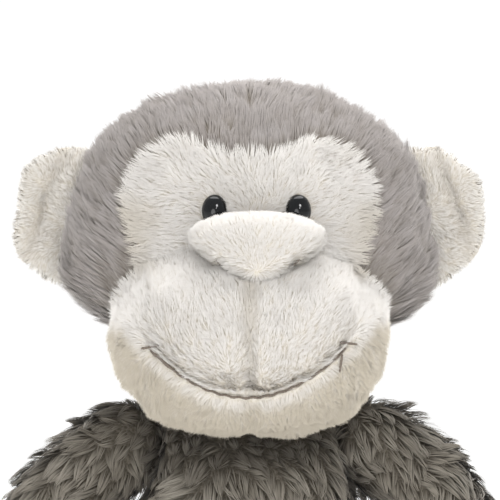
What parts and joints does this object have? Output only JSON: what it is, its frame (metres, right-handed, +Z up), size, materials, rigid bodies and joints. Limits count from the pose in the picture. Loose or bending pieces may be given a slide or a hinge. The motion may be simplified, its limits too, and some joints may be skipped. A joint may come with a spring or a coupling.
{
  "type": "stuffed monkey",
  "caption": "Seated stuffed monkey toy with plush fur, a pale face, a wide stitched smile, round ears, long arms, legs and a tail that swing at their seams",
  "frame": {"origin": "middle of the flat seat, on the surface that the toy sits on", "axes": "+Z up, the face looks along -Y, the toy's own left side is at +X"},
  "size_m": [0.27, 0.3107, 0.328],
  "materials": {
    "grey_plush": "matte",
    "cream_plush": "matte",
    "filling": "matte",
    "pellets": "matte",
    "eye_black": "gloss",
    "washer_plastic": "satin",
    "thread": "satin"
  },
  "bodies": {
    "torso": {"seat_panel": "grey_plush", "belly_panel": "grey_plush", "back_panel_left": "grey_plush", "back_panel_right": "grey_plush", "torso_stuffing": "filling", "bean_pouch": "pellets"},
    "neck": {"neck_core": "filling"},
    "head": {"crown_left": "grey_plush", "crown_right": "grey_plush", "face_panel": "cream_plush", "cheek_left": "cream_plush", "cheek_right": "cream_plush", "chin_panel": "cream_plush", "nose_pad": "cream_plush", "head_stuffing": "filling", "eye_left": "eye_black", "eye_right": "eye_black", "eye_washer_left": "washer_plastic", "eye_washer_right": "washer_plastic", "mouth_stitch": "thread", "nostril_stitch_left": "thread", "nostril_stitch_right": "thread"},
    "ear_left": {"ear_left_front": "cream_plush", "ear_left_back": "cream_plush"},
    "ear_right": {"ear_right_front": "cream_plush", "ear_right_back": "cream_plush"},
    "arm_left": {"arm_left": "grey_plush", "hand_left": "cream_plush", "arm_stuffing_left": "filling"},
    "arm_right": {"arm_right": "grey_plush", "hand_right": "cream_plush", "arm_stuffing_right": "filling"},
    "leg_left": {"leg_left": "grey_plush", "foot_left": "grey_plush", "sole_left": "cream_plush", "leg_stuffing_left": "filling"},
    "leg_right": {"leg_right": "grey_plush", "foot_right": "grey_plush", "sole_right": "cream_plush", "leg_stuffing_right": "filling"},
    "tail": {"tail": "grey_plush"}
  },
  "joints": [
    {"name": "neck_turn", "type": "hinge", "parent": "torso", "child": "neck", "pos_m": [0, 0.015, 0.213], "axis": [0, 0, 1], "range_deg": [-15, 15], "stiffness_Nm_per_rad": 1.2},
    {"name": "head_nod", "type": "hinge", "parent": "neck", "child": "head", "pos_m": [0, 0.015, 0.213], "axis": [1, 0, 0], "range_deg": [-8, 8], "stiffness_Nm_per_rad": 2},
    {"name": "ear_left_fold", "type": "hinge", "parent": "head", "child": "ear_left", "pos_m": [0.068, 0.012, 0.2745], "axis": [0, 0, 1], "range_deg": [-20, 20], "stiffness_Nm_per_rad": 0.02},
    {"name": "ear_right_fold", "type": "hinge", "parent": "head", "child": "ear_right", "pos_m": [-0.068, 0.012, 0.2745], "axis": [0, 0, 1], "range_deg": [-20, 20], "stiffness_Nm_per_rad": 0.02},
    {"name": "arm_left_swing", "type": "hinge", "parent": "torso", "child": "arm_left", "pos_m": [0.051, 0.002, 0.186], "axis": [-1, 0, 0], "range_deg": [-30, 85], "stiffness_Nm_per_rad": 0.25},
    {"name": "arm_right_swing", "type": "hinge", "parent": "torso", "child": "arm_right", "pos_m": [-0.051, 0.002, 0.186], "axis": [-1, 0, 0], "range_deg": [-30, 85], "stiffness_Nm_per_rad": 0.25},
    {"name": "leg_left_swing", "type": "hinge", "parent": "torso", "child": "leg_left", "pos_m": [0.04, -0.03, 0.027], "axis": [-1, 0, 0], "range_deg": [-50, 25], "stiffness_Nm_per_rad": 0.25},
    {"name": "leg_right_swing", "type": "hinge", "parent": "torso", "child": "leg_right", "pos_m": [-0.04, -0.03, 0.027], "axis": [-1, 0, 0], "range_deg": [-50, 25], "stiffness_Nm_per_rad": 0.25},
    {"name": "tail_swing", "type": "hinge", "parent": "torso", "child": "tail", "pos_m": [0, 0.052, 0.021], "axis": [0, 0, 1], "range_deg": [-35, 35], "stiffness_Nm_per_rad": 0.05}
  ]
}
